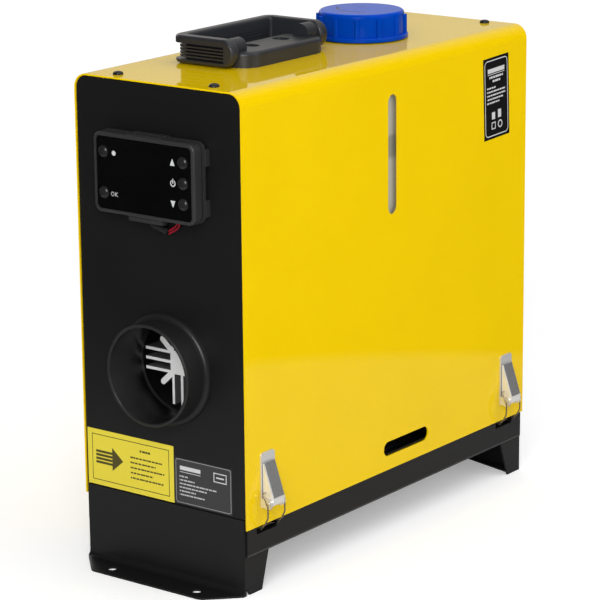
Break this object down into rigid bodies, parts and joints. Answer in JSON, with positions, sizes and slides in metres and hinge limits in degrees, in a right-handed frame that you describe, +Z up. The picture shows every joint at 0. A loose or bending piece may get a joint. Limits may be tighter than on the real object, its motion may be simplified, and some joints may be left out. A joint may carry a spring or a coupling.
{
  "type": "diesel air heater",
  "caption": "Portable diesel air heater: glossy yellow sheet-metal case on a black base with fuel tank, blue filler cap, folding handle, controller, warm-air outlet and toggle latches.",
  "frame": {"origin": "on the floor, under the middle of the whole heater's length and width", "axes": "+Z up; -Y out of the front panel, the way the warm air leaves; +X towards the side with the sight slot"},
  "size_m": [0.1738, 0.396, 0.3863],
  "materials": {
    "black_paint": "satin black powder coat",
    "yellow_paint": "glossy yellow enamel",
    "black_steel": "black oxide",
    "bright_steel": "bright zinc",
    "bright_nickel": "bright nickel plate",
    "zinc_sheet": "zinc coated sheet",
    "stainless": "plain stainless",
    "cast_aluminium": "as cast",
    "black_plastic": "fine grain black",
    "shell_plastic": "fine grain black",
    "handle_plastic": "fine grain dark grey",
    "controller_plastic": "fine grain dark grey",
    "button_plastic": "soft black",
    "display_glass": "polished black",
    "board_laminate": "green laminate",
    "wire_insulation": "red insulation",
    "sleeve_rubber": "smooth sleeve",
    "seal_rubber": "plain rubber",
    "filter_plastic": "translucent white",
    "tank_plastic": "translucent natural",
    "cap_plastic": "glossy blue",
    "label_film": "printed film"
  },
  "bodies": {
    "case": {"base_tray": "black_paint", "front_leg": "black_paint", "rear_leg": "black_paint", "rivets": "bright_steel", "cover": "yellow_paint", "front_panel": "black_paint", "rear_panel": "black_paint", "cover_screws": "black_steel", "outlet_collar": "black_plastic", "intake_grille": "black_plastic", "cable_gland": "black_plastic", "labels": "label_film", "handle_base": "handle_plastic", "pivot_pins": "bright_steel", "handle_screws": "bright_steel", "fuel_tank": "tank_plastic", "tank_shelf": "zinc_sheet", "fuel_hoses": "seal_rubber", "fuel_filter": "filter_plastic", "fuel_pump": "bright_steel", "pump_clamp": "seal_rubber", "heater_shell_lower": "shell_plastic", "heater_shell_upper": "shell_plastic", "heat_exchanger": "cast_aluminium", "burner_tube": "stainless", "glow_plug": "stainless", "blower_housing": "cast_aluminium", "blower_motor": "bright_steel", "exhaust_pipe": "stainless", "combustion_inlet_pipe": "black_plastic", "heater_gasket": "seal_rubber", "heater_stand": "zinc_sheet", "control_unit": "black_plastic", "controller_rear_shell": "controller_plastic", "controller_bezel": "controller_plastic", "display_window": "display_glass", "controller_board": "board_laminate", "lead_wires": "wire_insulation", "lead_sleeve": "sleeve_rubber", "latch_plates": "bright_nickel"},
    "grip": {"handle_grip": "handle_plastic"},
    "cap_seal": {"cap_gasket": "seal_rubber"},
    "cap": {"fuel_cap": "cap_plastic"},
    "menu": {"menu_button": "button_plastic"},
    "ok": {"ok_button": "button_plastic"},
    "up": {"up_button": "button_plastic"},
    "power": {"power_button": "button_plastic"},
    "down": {"down_button": "button_plastic"},
    "lever_front_right": {"latch_lever_front_right": "bright_nickel"},
    "bail_front_right": {"latch_bail_front_right": "bright_steel"},
    "lever_front_left": {"latch_lever_front_left": "bright_nickel"},
    "bail_front_left": {"latch_bail_front_left": "bright_steel"},
    "lever_rear_right": {"latch_lever_rear_right": "bright_nickel"},
    "bail_rear_right": {"latch_bail_rear_right": "bright_steel"},
    "lever_rear_left": {"latch_lever_rear_left": "bright_nickel"},
    "bail_rear_left": {"latch_bail_rear_left": "bright_steel"},
    "rotor": {"rotor_shaft": "bright_steel", "blower_fan": "black_plastic", "combustion_fan": "cast_aluminium"},
    "plunger": {"pump_plunger": "bright_steel"}
  },
  "joints": [
    {"name": "handle_fold", "type": "hinge", "parent": "case", "child": "grip", "pos_m": [0.004, -0.048, 0.3785], "axis": [0, 1, 0], "range_deg": [0, 95]},
    {"name": "cap_lift", "type": "slide", "parent": "case", "child": "cap_seal", "axis": [0, 0, 1], "range_m": [0, 0.01]},
    {"name": "cap_turn", "type": "hinge", "parent": "cap_seal", "child": "cap", "pos_m": [0.003, 0.0668, 0.376], "axis": [0, 0, 1], "range_deg": [0, 900]},
    {"name": "menu_press", "type": "slide", "parent": "case", "child": "menu", "axis": [0, 1, 0], "range_m": [0, 0.0008], "stiffness_N_per_m": 800},
    {"name": "ok_press", "type": "slide", "parent": "case", "child": "ok", "axis": [0, 1, 0], "range_m": [0, 0.0008], "stiffness_N_per_m": 800},
    {"name": "up_press", "type": "slide", "parent": "case", "child": "up", "axis": [0, 1, 0], "range_m": [0, 0.0008], "stiffness_N_per_m": 800},
    {"name": "power_press", "type": "slide", "parent": "case", "child": "power", "axis": [0, 1, 0], "range_m": [0, 0.0008], "stiffness_N_per_m": 800},
    {"name": "down_press", "type": "slide", "parent": "case", "child": "down", "axis": [0, 1, 0], "range_m": [0, 0.0008], "stiffness_N_per_m": 800},
    {"name": "latch_front_right", "type": "hinge", "parent": "case", "child": "lever_front_right", "pos_m": [0.0825, -0.1503, 0.067], "axis": [0, 1, 0], "range_deg": [0, 150]},
    {"name": "bail_swing_front_right", "type": "hinge", "parent": "lever_front_right", "child": "bail_front_right", "pos_m": [0.0795, -0.1503, 0.075], "axis": [0, 1, 0], "range_deg": [-150, 0]},
    {"name": "latch_front_left", "type": "hinge", "parent": "case", "child": "lever_front_left", "pos_m": [-0.0825, -0.1503, 0.067], "axis": [0, -1, 0], "range_deg": [0, 150]},
    {"name": "bail_swing_front_left", "type": "hinge", "parent": "lever_front_left", "child": "bail_front_left", "pos_m": [-0.0795, -0.1503, 0.075], "axis": [0, -1, 0], "range_deg": [-150, 0]},
    {"name": "latch_rear_right", "type": "hinge", "parent": "case", "child": "lever_rear_right", "pos_m": [0.0825, 0.1597, 0.067], "axis": [0, 1, 0], "range_deg": [0, 150]},
    {"name": "bail_swing_rear_right", "type": "hinge", "parent": "lever_rear_right", "child": "bail_rear_right", "pos_m": [0.0795, 0.1597, 0.075], "axis": [0, 1, 0], "range_deg": [-150, 0]},
    {"name": "latch_rear_left", "type": "hinge", "parent": "case", "child": "lever_rear_left", "pos_m": [-0.0825, 0.1597, 0.067], "axis": [0, -1, 0], "range_deg": [0, 150]},
    {"name": "bail_swing_rear_left", "type": "hinge", "parent": "lever_rear_left", "child": "bail_rear_left", "pos_m": [-0.0795, 0.1597, 0.075], "axis": [0, -1, 0], "range_deg": [-150, 0]},
    {"name": "blower_spin", "type": "hinge", "parent": "case", "child": "rotor", "pos_m": [0.0037, 0.086, 0.1575], "axis": [0, 1, 0], "continuous": true},
    {"name": "pump_stroke", "type": "slide", "parent": "case", "child": "plunger", "axis": [0, 1, 0], "range_m": [0, 0.004], "stiffness_N_per_m": 400}
  ],
  "couplings": [
    {"joint": "cap_turn", "follows": "cap_lift", "rad_per_m": 1570.8},
    {"joint": "bail_swing_front_right", "follows": "latch_front_right", "ratio": -1},
    {"joint": "bail_swing_front_left", "follows": "latch_front_left", "ratio": -1},
    {"joint": "bail_swing_rear_right", "follows": "latch_rear_right", "ratio": -1},
    {"joint": "bail_swing_rear_left", "follows": "latch_rear_left", "ratio": -1}
  ]
}
